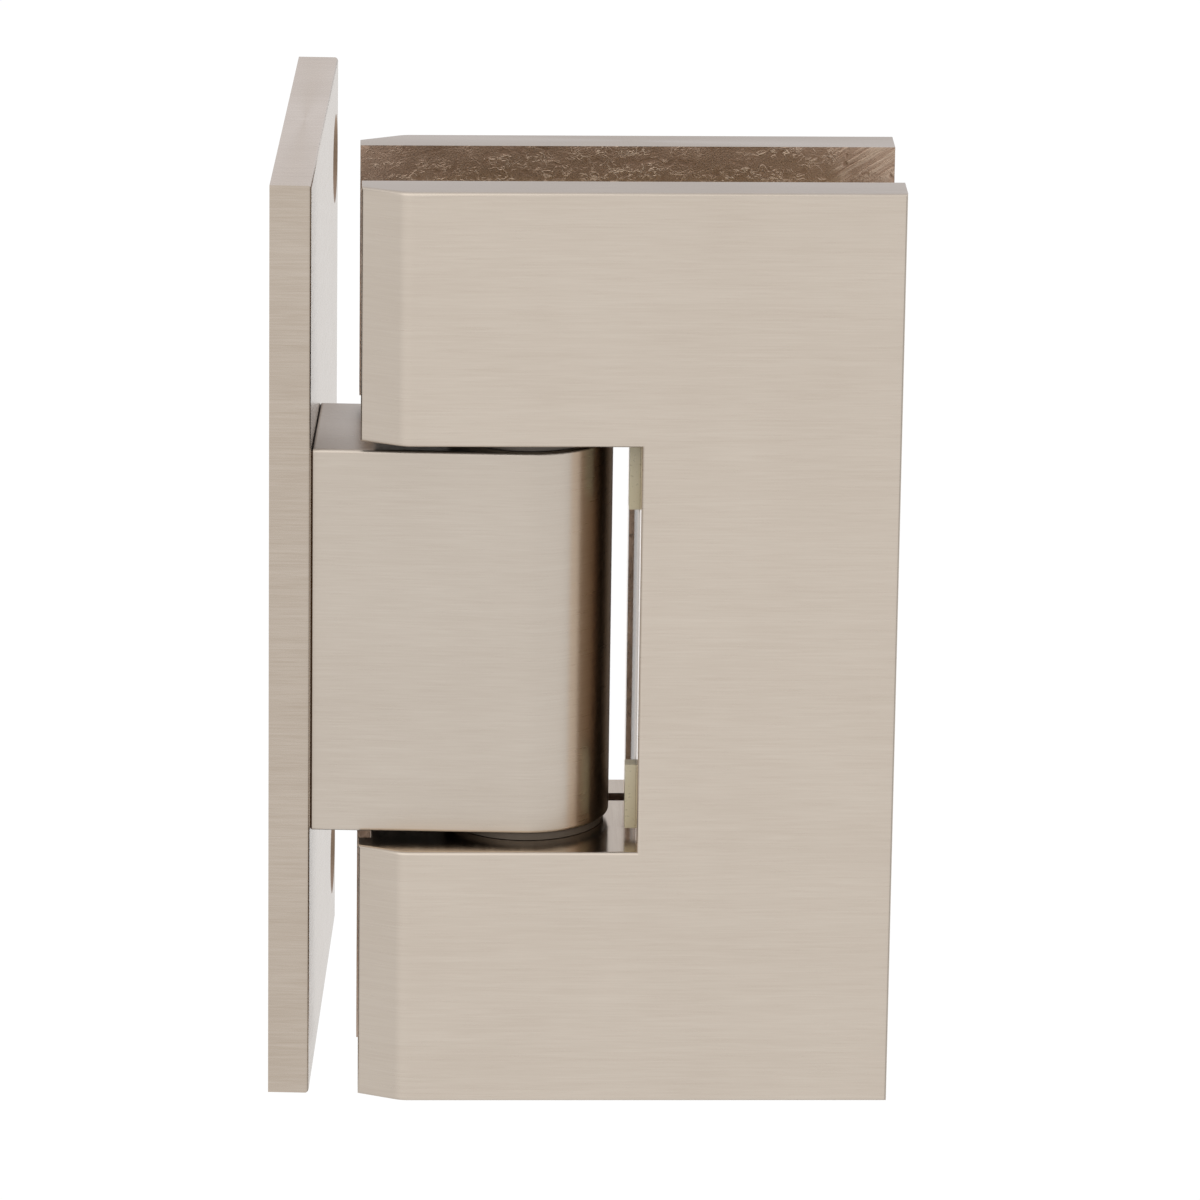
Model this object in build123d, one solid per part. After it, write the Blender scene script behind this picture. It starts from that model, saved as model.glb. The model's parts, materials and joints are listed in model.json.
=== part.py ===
from build123d import *
import os

# Wall-to-glass shower door hinge with an offset wall plate, in millimetres.
# X runs out from the wall, whose face is at X = 0. Y runs from the front to the back. Z is up.
# The pin axis stands at Y = 0, and Z = 0 is the middle of the hinge's height.

# Fits between pieces
running_clearance = 0.05    # radial, between pieces that turn or slide
fastener_clearance = 0.05   # radial, round screws, bushings and the fixed ends of the pin
edge_break = 0.35           # rounding on the outer edges of the plated pieces
same_place = 0.01           # an edge within this of a place stands there

# Wall plate
plate_height = 90.0
plate_width = 50.8
plate_thickness = 3.9
plate_lead = 1.8            # the plate's front edge stands this far ahead of the block's front
wall_hole_radius = 2.75
wall_hole_spacing = 72.0
wall_hole_inset = 5.1       # from the plate's back edge to the hole's centre
wall_sink_radius = 4.4

# Pivot block
block_height = 37.9
block_thickness = 16.2      # also the diameter of the half-round nose
pin_reach = 20.2            # from the plate's face to the pin axis
block_screw_offset = 14.0   # from mid-height to each block screw
block_screw_radius = 2.5
block_screw_length = 15.0
block_screw_head_radius = 4.6
block_screw_socket = 3.0    # across the flats

# Pivot pin
pin_radius = 4.0
pin_length = 58.0
pin_chamfer = 0.6
pin_relief = 0.3            # radial room round the pin between the bushings
flat_depth = 0.65           # of the detent flats, below the pin's surface
flat_margin = 1.0           # of the flats past the plungers

# Bushings and thrust washers
bushing_radius = 5.2
bushing_length = 6.0
washer_radius = 7.6
washer_thickness = 1.0      # mean of the upper and the lower washer
washer_play = 0.05          # on each side of a washer
washer_bore_clearance = 0.15

# Detent plungers and their springs
plunger_offset = 5.5        # from mid-height to each plunger
plunger_radius = 3.5
plunger_length = 9.0
plunger_tip_chamfer = 0.7
plunger_pocket_radius = 2.7
plunger_pocket_depth = 4.0
plunger_tip_gap = 0.05      # between the tip and the pin
spring_wire = 0.8           # across the square wire
spring_radius = 2.1         # to the middle of the wire
spring_pitch = 2.6
spring_seat_gap = 0.03      # at both ends of the spring

# Clamp leaf: both plates
leaf_height = 90.0
leaf_width = 50.8
leaf_gap = 4.2              # from the wall plate's face to the leaf's left end
leaf_angle = 3.2            # degrees out of square at which the leaf is locked on the pin
leaf_lift = 0.3             # of the notch's middle above mid-height, taken up by unequal washers
plate_wall = 4.4            # thickness of the body's and the cover's plate
glass_thickness = 10.0
gasket_thickness = 1.7
notch_depth = 26.4          # from the leaf's left end to the notch wall
bevel_width = 4.1
bevel_depth = 2.0
bevel_ridge_radius = 3.0    # where a bevel runs into the outer face
cover_lip = 0.4             # of the cover past the body's notch wall

# Boss on the body's inner face
boss_cover_gap = 2.3        # between the boss and the cover
boss_left_inset = 1.2       # from the leaf's left end to the boss
boss_width = 36.5
boss_half_height = 32.0
boss_corner_radius = 3.0
knuckle_wall = 2.0          # of metal round the pin

# Gaskets
gasket_setback = 4.0        # from the leaf's outline
gasket_corner_radius = 1.5
gasket_clearance = 0.3      # round the boss and in its slots
tongue_offset = 15.9        # from the notch's middle to each tongue of the front gasket
tongue_height = 6.4
tongue_reach = 1.0          # of the tongues past the notch wall
rear_gasket_margin = 2.0    # of the rear gasket's window past the boss

# Clamp screws and pin set screws
clamp_screw_radius = 3.0
clamp_screw_length = 17.5
clamp_screw_head_radius = 5.9
clamp_screw_socket = 4.0    # across the flats
clamp_screw_offset = 26.0   # from the notch's middle to each clamp screw
clamp_screw_inset = 5.8     # from the notch wall to the screws
clamp_hole_clearance = 0.3
set_screw_radius = 2.5
set_screw_length = 4.2
set_screw_offset = 26.0     # from the notch's middle to each set screw
set_screw_socket = 2.5      # across the flats
set_screw_tip_gap = 0.03    # between the set screw and the pin

# Details of the screws
head_rim = 0.3              # straight edge of a countersunk head
screw_chamfer = 0.5
socket_depth_share = 0.9    # of the socket's width

# Places that follow from the sizes
pin_x = plate_thickness + pin_reach
nose_radius = block_thickness / 2
block_half = block_height / 2
plate_front = -nose_radius - plate_lead
plate_back = plate_front + plate_width
wall_hole_y = plate_back - wall_hole_inset
bushing_bore_radius = pin_radius + running_clearance
pin_bore_radius = pin_radius + pin_relief
plunger_tip_x = pin_x - pin_radius - plunger_tip_gap
plunger_back_x = plunger_tip_x - plunger_length
slot_half = glass_thickness / 2 + gasket_thickness
leaf_outer = slot_half + plate_wall
leaf_left = plate_thickness + leaf_gap
leaf_right = leaf_left + leaf_width
leaf_half = leaf_height / 2
notch_wall_x = leaf_left + notch_depth
notch_half = block_half + washer_thickness + 2 * washer_play
boss_left = leaf_left + boss_left_inset
boss_top_y = slot_half - boss_cover_gap
clamp_screw_x = notch_wall_x + clamp_screw_inset
pin_axis = Axis((pin_x, 0, 0), (0, 0, 1))
upper_and_lower = (("upper", 1), ("lower", -1))


def block_of(low, high):
    """Box between two opposite corners."""
    size = [b - a for a, b in zip(low, high)]
    return Pos(*low) * Box(*size, align=(Align.MIN, Align.MIN, Align.MIN))


def rod(start, direction, radius, length):
    """Cylinder from a start point along a direction."""
    return Plane(origin=start, z_dir=direction).location * Cylinder(
        radius, length, align=(Align.CENTER, Align.CENTER, Align.MIN))


def sink(start, direction, outer_radius, inner_radius):
    """Right-angled countersink cone that narrows from its mouth along a direction."""
    return Plane(origin=start, z_dir=direction).location * Cone(
        outer_radius, inner_radius, outer_radius - inner_radius,
        align=(Align.CENTER, Align.CENTER, Align.MIN))


def turned(*profile):
    """Solid of revolution about Z from (radius, height) points."""
    outline = Polyline(*[(radius, 0, height) for radius, height in profile], close=True)
    return revolve(make_face(outline), Axis.Z)


def hex_socket(across_flats):
    """Hexagonal recess that opens at Z = 0 and goes down."""
    depth = across_flats * socket_depth_share
    return extrude(RegularPolygon(across_flats / 2, 6, major_radius=False), -depth)


def countersunk_screw(radius, length, head_radius, socket):
    """Countersunk screw with its head's face at Z = 0 and its tip below."""
    neck = head_rim + head_radius - radius
    body = turned(
        (0, 0), (head_radius, 0), (head_radius, -head_rim), (radius, -neck),
        (radius, screw_chamfer - length), (radius - screw_chamfer, -length), (0, -length))
    return body - hex_socket(socket)


def countersunk_hole(mouth, direction, depth, hole_radius, head_radius):
    """Cutter for a screw hole whose countersink takes a head with its rim."""
    recess = rod(mouth, direction, head_radius, head_rim)
    floor = Vector(mouth) + Vector(direction) * head_rim
    return (rod(mouth, direction, hole_radius, depth) + recess
            + sink(floor, direction, head_radius, hole_radius))


def on_leaf(solid):
    """Turn a piece of the leaf to its angle on the pin, and lift it so that the notch has its place."""
    return Pos(0, 0, leaf_lift) * solid.rotate(pin_axis, leaf_angle)


def make_wall_plate():
    """Flat plate with two wall holes and two countersinks for the block screws on its back."""
    plate = block_of((0, plate_front, -plate_height / 2), (plate_thickness, plate_back, plate_height / 2))
    plate = fillet(plate.faces().sort_by(Axis.X)[-1].edges(), edge_break)
    for _, side in upper_and_lower:
        wall_hole = (plate_thickness, wall_hole_y, side * wall_hole_spacing / 2)
        plate -= rod(wall_hole, (-1, 0, 0), wall_hole_radius, plate_thickness)
        plate -= sink(wall_hole, (-1, 0, 0), wall_sink_radius, wall_hole_radius)
        plate -= countersunk_hole(
            (0, 0, side * block_screw_offset), (1, 0, 0), plate_thickness,
            block_screw_radius + fastener_clearance, block_screw_head_radius + fastener_clearance)
    return plate


def make_pivot_block():
    """Block with a half-round nose, the pin's bore, plunger bores and screw holes."""
    outline = Pos(plate_thickness, 0) * Rectangle(
        pin_reach, block_thickness, align=(Align.MIN, Align.CENTER))
    outline += Pos(pin_x, 0) * Circle(nose_radius)
    block = Pos(0, 0, -block_half) * extrude(outline, block_height)
    ends = block.faces().filter_by(Axis.Z).edges()
    block = fillet(ends.filter_by(lambda edge: edge.center().X > plate_thickness), edge_break)
    block -= rod((pin_x, 0, -block_half), (0, 0, 1), pin_bore_radius, block_height)
    for _, side in upper_and_lower:
        block -= rod((pin_x, 0, side * block_half), (0, 0, -side),
                     bushing_radius + fastener_clearance, bushing_length)
        block -= rod((plate_thickness, 0, side * plunger_offset), (1, 0, 0),
                     plunger_radius + running_clearance, pin_reach)
        block -= rod((plate_thickness, 0, side * block_screw_offset), (1, 0, 0),
                     block_screw_radius + fastener_clearance, block_screw_length - plate_thickness)
    return block


def make_pivot_pin():
    """Pin with detent flats towards the wall and at a quarter turn to both sides."""
    half = pin_length / 2
    tip = pin_radius - pin_chamfer
    pin = turned((0, -half), (tip, -half), (pin_radius, pin_chamfer - half),
                 (pin_radius, half - pin_chamfer), (tip, half), (0, half))
    reach = plunger_offset + plunger_radius + flat_margin
    flat = block_of((-pin_radius, -pin_radius, -reach), (flat_depth - pin_radius, pin_radius, reach))
    for turn in (-90, 0, 90):
        pin -= Rot(0, 0, turn) * flat
    return Pos(pin_x, 0, leaf_lift) * pin


def make_plunger(side):
    """Detent plunger, drawn back to the pin's full radius, with a pocket for its spring."""
    tip = plunger_radius - plunger_tip_chamfer
    shoulder = plunger_length - plunger_tip_chamfer
    plunger = turned(
        (0, plunger_pocket_depth), (plunger_pocket_radius, plunger_pocket_depth),
        (plunger_pocket_radius, 0), (plunger_radius, 0), (plunger_radius, shoulder),
        (tip, plunger_length), (0, plunger_length))
    return Plane(origin=(plunger_back_x, 0, side * plunger_offset), z_dir=(1, 0, 0)).location * plunger


def make_spring(side):
    """Square-wire spring from the wall plate's face to the floor of the plunger's pocket."""
    start = plate_thickness + spring_seat_gap + spring_wire / 2
    end = plunger_back_x + plunger_pocket_depth - spring_seat_gap - spring_wire / 2
    path = Helix(spring_pitch, end - start, spring_radius)
    section = Plane(origin=path @ 0, x_dir=(1, 0, 0), z_dir=path % 0) * Rectangle(spring_wire, spring_wire)
    coil = sweep(section, path=path, is_frenet=True)
    return Plane(origin=(start, 0, side * plunger_offset), z_dir=(1, 0, 0)).location * coil


def make_bushing(side):
    """Plain bearing, flush with the block's end."""
    ring = turned((bushing_bore_radius, 0), (bushing_radius, 0),
                  (bushing_radius, -bushing_length), (bushing_bore_radius, -bushing_length))
    return Plane(origin=(pin_x, 0, side * block_half), z_dir=(0, 0, side)).location * ring


def make_washer(side):
    """Thrust washer between the block and the leaf."""
    bore = pin_radius + washer_bore_clearance
    thickness = washer_thickness + side * leaf_lift
    ring = turned((bore, 0), (washer_radius, 0), (washer_radius, thickness), (bore, thickness))
    height = side * (block_half + washer_play)
    return Plane(origin=(pin_x, 0, height), z_dir=(0, 0, side)).location * ring


def make_block_screw(side):
    """Countersunk screw from the wall plate's back into the block."""
    screw = countersunk_screw(
        block_screw_radius, block_screw_length, block_screw_head_radius, block_screw_socket)
    return Plane(origin=(0, 0, side * block_screw_offset), z_dir=(-1, 0, 0)).location * screw


def upright(outline, near, far):
    """Extrude an outline drawn on X and Z from one place on Y to another."""
    return extrude(Plane(origin=(0, near, 0), x_dir=(1, 0, 0), z_dir=(0, 1, 0)) * mirror(outline, Plane.XZ),
                   far - near)


def notch_outline(reach, half_height):
    """Rectangle that runs in from beyond the leaf's left end."""
    return Pos(leaf_left - leaf_gap, 0) * Rectangle(
        leaf_gap + reach - leaf_left, 2 * half_height, align=(Align.MIN, Align.CENTER))


def upright_edges_at(solid, x, y):
    """Upright edges of a solid that stand at one place."""
    return solid.edges().filter_by(Axis.Z).filter_by(
        lambda edge: abs(edge.center().X - x) + abs(edge.center().Y - y) < same_place)


def leaf_plate(inner_y, outer_y, notch_x):
    """C-shaped plate with ground bevels on the left ends of its outer face."""
    outline = Pos(leaf_left, -leaf_lift) * Rectangle(leaf_width, leaf_height, align=(Align.MIN, Align.CENTER))
    outline -= notch_outline(notch_x, notch_half)
    plate = upright(outline, min(inner_y, outer_y), max(inner_y, outer_y))
    outward = 1 if outer_y > inner_y else -1
    ridge_x = leaf_left + bevel_width
    end_y = outer_y - outward * bevel_depth
    corner = Polyline((leaf_left, outer_y), (ridge_x, outer_y), (leaf_left, end_y), close=True)
    plate -= Pos(0, 0, -leaf_half - leaf_lift) * extrude(make_face(corner), leaf_height)
    plate = fillet(upright_edges_at(plate, ridge_x, outer_y), bevel_ridge_radius)
    face = plate.faces().filter_by(Axis.Y).sort_by(Axis.Y)[-1 if outward > 0 else 0]
    rounded = face.edges().filter_by(
        lambda edge: abs((edge % 0.5).X) > 0.5 or edge.center().X > ridge_x + bevel_ridge_radius)
    return fillet(rounded + upright_edges_at(plate, leaf_left, end_y), edge_break)


def boss_outline(margin):
    """Boss on the body's inner face: two arms round the pin, joined by a spine beside the notch."""
    outline = Pos(boss_left - margin, 0) * RectangleRounded(
        boss_width + 2 * margin, 2 * (boss_half_height + margin), boss_corner_radius + margin,
        align=(Align.MIN, Align.CENTER))
    return outline - notch_outline(notch_wall_x - margin, notch_half - margin)


def tongue_outline(margin):
    """Tongues of the front gasket, which run from its right side under the boss into the notch."""
    start = notch_wall_x - tongue_reach
    end = leaf_right - gasket_setback - gasket_corner_radius
    strip = Rectangle(end - start, tongue_height + 2 * margin, align=(Align.MIN, Align.CENTER))
    return Pos(start, tongue_offset) * strip + Pos(start, -tongue_offset) * strip


def make_clamp_body():
    """Front plate with its boss, the pin's knuckles, the gasket's slots and the screw holes."""
    boss = upright(boss_outline(0), -slot_half, boss_top_y)
    boss -= upright(tongue_outline(gasket_clearance), -slot_half, gasket_thickness + gasket_clearance - slot_half)
    body = leaf_plate(-slot_half, -leaf_outer, notch_wall_x) + boss
    for _, side in upper_and_lower:
        knuckle = rod((pin_x, 0, side * notch_half), (0, 0, side), pin_radius + knuckle_wall,
                      boss_half_height - notch_half)
        body += knuckle
    body -= rod((pin_x, 0, -pin_length / 2), (0, 0, 1), pin_radius + fastener_clearance,
                pin_length / 2 + boss_half_height)
    for _, side in upper_and_lower:
        body -= rod((clamp_screw_x, boss_top_y, side * clamp_screw_offset), (0, -1, 0),
                    clamp_screw_radius + fastener_clearance, clamp_screw_length + boss_top_y - leaf_outer)
        body -= rod((boss_left, 0, side * set_screw_offset), (1, 0, 0),
                    set_screw_radius + fastener_clearance, pin_x - boss_left)
    return on_leaf(body)


def make_clamp_cover():
    """Rear plate with countersunk holes for the clamp screws."""
    cover = leaf_plate(slot_half, leaf_outer, notch_wall_x - cover_lip)
    for _, side in upper_and_lower:
        cover -= countersunk_hole(
            (clamp_screw_x, leaf_outer, side * clamp_screw_offset), (0, -1, 0), plate_wall,
            clamp_screw_radius + clamp_hole_clearance, clamp_screw_head_radius + clamp_hole_clearance)
    return on_leaf(cover)


def gasket_sheet():
    """Outline of a gasket before its windows are cut."""
    width = leaf_width - 2 * gasket_setback
    return Pos(leaf_left + gasket_setback, -leaf_lift) * RectangleRounded(
        width, leaf_height - 2 * gasket_setback, gasket_corner_radius, align=(Align.MIN, Align.CENTER))


def make_front_gasket():
    """Clear sheet round the boss, with two tongues whose tips show in the notch."""
    outline = gasket_sheet() - boss_outline(gasket_clearance) - notch_outline(notch_wall_x, notch_half)
    return on_leaf(upright(outline + tongue_outline(0), -slot_half, gasket_thickness - slot_half))


def make_rear_gasket():
    """Clear sheet on the cover, with a window over the boss that opens at the notch."""
    window = boss_left + boss_width + rear_gasket_margin
    outline = gasket_sheet() - notch_outline(window, boss_half_height + rear_gasket_margin)
    return on_leaf(upright(outline, slot_half - gasket_thickness, slot_half))


def make_clamp_screw(side):
    """Countersunk screw through the cover into the body."""
    screw = countersunk_screw(
        clamp_screw_radius, clamp_screw_length, clamp_screw_head_radius, clamp_screw_socket)
    place = (clamp_screw_x, leaf_outer, side * clamp_screw_offset)
    return on_leaf(Plane(origin=place, z_dir=(0, 1, 0)).location * screw)


def make_pin_set_screw(side):
    """Set screw from the boss's left end that locks the pin in the leaf."""
    screw = turned(
        (0, 0), (set_screw_radius, 0), (set_screw_radius, screw_chamfer - set_screw_length),
        (set_screw_radius - screw_chamfer, -set_screw_length), (0, -set_screw_length))
    screw -= hex_socket(set_screw_socket)
    head_x = pin_x - pin_radius - set_screw_tip_gap - set_screw_length
    return on_leaf(Plane(origin=(head_x, 0, side * set_screw_offset), z_dir=(-1, 0, 0)).location * screw)


nodes = {
    "wall_plate": make_wall_plate(),
    "pivot_block": make_pivot_block(),
    "pivot_pin": make_pivot_pin(),
    "clamp_body": make_clamp_body(),
    "clamp_cover": make_clamp_cover(),
    "front_gasket": make_front_gasket(),
    "rear_gasket": make_rear_gasket(),
}
for name, side in upper_and_lower:
    nodes[f"{name}_plunger"] = make_plunger(side)
    nodes[f"{name}_spring"] = make_spring(side)
    nodes[f"{name}_bushing"] = make_bushing(side)
    nodes[f"{name}_washer"] = make_washer(side)
    nodes[f"{name}_block_screw"] = make_block_screw(side)
    nodes[f"{name}_clamp_screw"] = make_clamp_screw(side)
    nodes[f"{name}_pin_set_screw"] = make_pin_set_screw(side)

os.makedirs("parts", exist_ok=True)
for name, solid in nodes.items():
    export_step(solid, f"parts/{name}.step")
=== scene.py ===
"""Looks of a wall-to-glass shower door hinge: brushed nickel on cast brass, clear gaskets, steel screws.

Places are in the hinge's own frame: X out from the wall, Y from the front to the back, Z up.
Sizes are written in millimetres and turned to metres where a mesh or a material takes them.
"""
import json
import logging
import math
from collections.abc import Iterator
from contextlib import contextmanager
from dataclasses import dataclass, field
from enum import Enum, IntEnum

import bpy
import numpy as np
from mathutils import Matrix, Vector


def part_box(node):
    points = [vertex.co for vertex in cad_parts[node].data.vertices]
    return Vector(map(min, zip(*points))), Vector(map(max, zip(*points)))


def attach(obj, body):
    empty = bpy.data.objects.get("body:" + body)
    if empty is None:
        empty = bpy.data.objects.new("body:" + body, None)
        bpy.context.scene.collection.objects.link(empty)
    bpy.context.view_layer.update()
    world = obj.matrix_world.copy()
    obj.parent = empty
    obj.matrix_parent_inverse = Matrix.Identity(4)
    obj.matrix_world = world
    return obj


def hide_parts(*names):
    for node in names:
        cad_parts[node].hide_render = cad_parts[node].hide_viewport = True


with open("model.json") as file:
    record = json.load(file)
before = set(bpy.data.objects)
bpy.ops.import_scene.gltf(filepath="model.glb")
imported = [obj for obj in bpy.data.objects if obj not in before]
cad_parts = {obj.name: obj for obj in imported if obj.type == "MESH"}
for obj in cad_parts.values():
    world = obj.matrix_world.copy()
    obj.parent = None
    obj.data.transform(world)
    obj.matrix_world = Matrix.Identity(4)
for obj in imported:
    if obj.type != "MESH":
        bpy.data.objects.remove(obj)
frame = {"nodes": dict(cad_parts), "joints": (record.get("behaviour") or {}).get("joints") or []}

log = logging.getLogger("hinge")

MM = 0.001
LEVEL_FROM = 0.7                       # Z of a normal beyond which its face counts as level
FACING = 0.9                           # share of a normal along an axis that its face looks along
NEAR_MM = 0.05                         # points closer than this lie on the same face
PLASTIC_IOR = 1.53

Tree = bpy.types.NodeTree
Socket = bpy.types.NodeSocket


class Half(Enum):
    """The two like halves of the hinge, above and below its middle."""

    UPPER = 1
    LOWER = -1

    @property
    def word(self) -> str:
        """Name of the half as it stands in the names of pieces."""
        return self.name.lower()


class Lay(Enum):
    """Direction in which the lines of a ground or brushed surface run."""

    LEVEL = "level"
    ACROSS = "across"


class Skin(IntEnum):
    """Finishes on a plate of the leaf, in the order of its materials."""

    BRUSHED = 0
    CAST = 1
    MILLED = 2
    BORED = 3
    BRIGHT = 4
    SCALE = 5


def linear(code: str) -> tuple[float, float, float, float]:
    """Turn an sRGB hex colour into linear red, green, blue and alpha.

    Args:
        code: Six hex digits.

    Returns:
        Linear colour with full alpha.
    """
    shares = [int(code[i:i + 2], 16) / 255 for i in (0, 2, 4)]
    return (*[s / 12.92 if s <= 0.04045 else ((s + 0.055) / 1.055) ** 2.4 for s in shares], 1.0)


def add_node(tree: Tree, kind: str, settings: dict | None = None,
             links: dict | None = None) -> bpy.types.Node:
    """Add a shader node with its settings and its incoming links.

    Args:
        tree: Node tree of a material or of the world.
        kind: Type of the node.
        settings: Values by the name of an attribute, or by the name or number of an input.
        links: Sockets of other nodes, by the name or number of the input that each one feeds.

    Returns:
        The new node.
    """
    node = tree.nodes.new(kind)
    for key, value in (settings or {}).items():
        if isinstance(key, str) and key in node.bl_rna.properties:
            setattr(node, key, value)
        else:
            node.inputs[key].default_value = value
    for key, socket in (links or {}).items():
        tree.links.new(socket, node.inputs[key])
    return node


def new_material(name: str) -> tuple[bpy.types.Material, Tree]:
    """Make an empty material.

    Args:
        name: Name of the material.

    Returns:
        The material and its node tree.
    """
    material = bpy.data.materials.new(name)
    material.use_nodes = True
    material.node_tree.nodes.clear()
    return material, material.node_tree


def object_point(tree: Tree) -> Socket:
    """Give the socket of a place on the piece, in metres in the hinge's frame."""
    return add_node(tree, "ShaderNodeTexCoord").outputs["Object"]


def part_of(tree: Tree, vector: Socket, axis: str) -> Socket:
    """Give one of X, Y and Z of a vector."""
    return add_node(tree, "ShaderNodeSeparateXYZ", links={0: vector}).outputs[axis]


def noise(tree: Tree, point: Socket, size_mm: float, detail: float, **settings: float) -> Socket:
    """Add cloudy noise.

    Args:
        tree: Node tree of the material.
        point: Place on the piece in metres.
        size_mm: Size of its largest clouds.
        detail: Finer layers of the noise.
        settings: Other inputs of the node, by name.

    Returns:
        Socket of the noise.
    """
    return add_node(tree, "ShaderNodeTexNoise", {"Scale": 1 / (size_mm * MM), "Detail": detail, **settings},
                    {"Vector": point}).outputs["Fac"]


def spread(tree: Tree, value: Socket, low: float, high: float, at_low: float = 0.0,
           at_high: float = 1.0) -> Socket:
    """Spread a range of values over another range, and hold them at its ends.

    Args:
        tree: Node tree of a material or of the world.
        value: Socket of the values.
        low: Value that gives at_low.
        high: Value that gives at_high.
        at_low: Result at the low value.
        at_high: Result at the high value.

    Returns:
        Socket of the results.
    """
    return add_node(tree, "ShaderNodeMapRange",
                    {"From Min": low, "From Max": high, "To Min": at_low, "To Max": at_high},
                    {"Value": value}).outputs[0]


def reckon(tree: Tree, operation: str, first: Socket, second: Socket | float = 0.0) -> Socket:
    """Reckon with one or two values.

    Args:
        tree: Node tree of a material or of the world.
        operation: What is done with them.
        first: Socket of the first value.
        second: Socket of the second value, or a number.

    Returns:
        Socket of the result.
    """
    if isinstance(second, float):
        return add_node(tree, "ShaderNodeMath", {"operation": operation, 1: second}, {0: first}).outputs[0]
    return add_node(tree, "ShaderNodeMath", {"operation": operation}, {0: first, 1: second}).outputs[0]


def tint(tree: Tree, share: Socket, deep: str, pale: str) -> Socket:
    """Mix two colours.

    Args:
        tree: Node tree of the material.
        share: Share of the pale colour.
        deep: Hex code of the deep colour.
        pale: Hex code of the pale colour.

    Returns:
        Socket of the colour.
    """
    return add_node(tree, "ShaderNodeMix", {"data_type": "RGBA", 6: linear(deep), 7: linear(pale)},
                    {0: share}).outputs[2]


def dim(tree: Tree, colour: Socket, gain: Socket) -> Socket:
    """Scale a colour by a gain."""
    return add_node(tree, "ShaderNodeVectorMath", {"operation": "SCALE"},
                    {0: colour, "Scale": gain}).outputs[0]


def bump(tree: Tree, height: Socket, strength: float, depth_mm: float) -> Socket:
    """Turn heights into normals.

    Args:
        tree: Node tree of the material.
        height: Heights from nought to one.
        strength: Share of the bump.
        depth_mm: Depth of the full range of heights.

    Returns:
        Socket of the normals.
    """
    return add_node(tree, "ShaderNodeBump", {"Strength": strength, "Distance": depth_mm * MM},
                    {"Height": height}).outputs[0]


def coat(tree: Tree, settings: dict, links: dict) -> None:
    """End a material with its surface.

    Args:
        tree: Node tree of the material.
        settings: Constant inputs of the surface, by name.
        links: Sockets that feed its other inputs.
    """
    surface = add_node(tree, "ShaderNodeBsdfPrincipled", settings, links)
    add_node(tree, "ShaderNodeOutputMaterial", links={"Surface": surface.outputs[0]})


@dataclass(frozen=True)
class LeafPlace:
    """Where the clamp leaf stands: its pin and the angle at which it is locked on it."""

    pin: Vector
    angle: float

    @classmethod
    def from_frame(cls) -> "LeafPlace":
        """Read the pin from the door's joint and the angle from the largest face of the cover.

        Returns:
            The leaf's place.
        """
        joint = next(j for j in frame["joints"] if j["name"] == "door_swing")
        faces = frame["nodes"]["clamp_cover"].data.polygons
        back = max((f for f in faces if f.normal.y > 0.5), key=lambda f: f.area)
        return cls(Vector(joint["pos_m"]), math.atan2(-back.normal.x, back.normal.y))

    def to_leaf(self) -> Matrix:
        """Matrix from the hinge's frame to the square frame of the leaf, with the pin as its origin."""
        return Matrix.Rotation(-self.angle, 4, "Z") @ Matrix.Translation(-self.pin)

    def square(self, points: np.ndarray) -> np.ndarray:
        """Give points in the leaf's square frame, with the pin's X added back.

        Args:
            points: Rows of X, Y and Z in the hinge's frame.

        Returns:
            Rows in the leaf's frame.
        """
        matrix = np.array(self.to_leaf())
        return points @ matrix[:3, :3].T + matrix[:3, 3] + np.array(self.pin)

    def points(self, node: str) -> np.ndarray:
        """Give the points of a solid in the leaf's square frame.

        Args:
            node: Name of the solid.

        Returns:
            Rows of X, Y and Z.
        """
        return self.square(np.array([v.co for v in frame["nodes"][node].data.vertices]))

    def point(self, tree: Tree) -> Socket:
        """Give the socket of a place on the piece, in metres in the leaf's frame from the pin.

        Args:
            tree: Node tree of the material.

        Returns:
            Socket of the place.
        """
        turn = Matrix.Rotation(-self.angle, 3, "Z")
        return add_node(tree, "ShaderNodeMapping",
                        {"Rotation": (0, 0, -self.angle), "Location": turn @ -self.pin},
                        {"Vector": object_point(tree)}).outputs[0]


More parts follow.
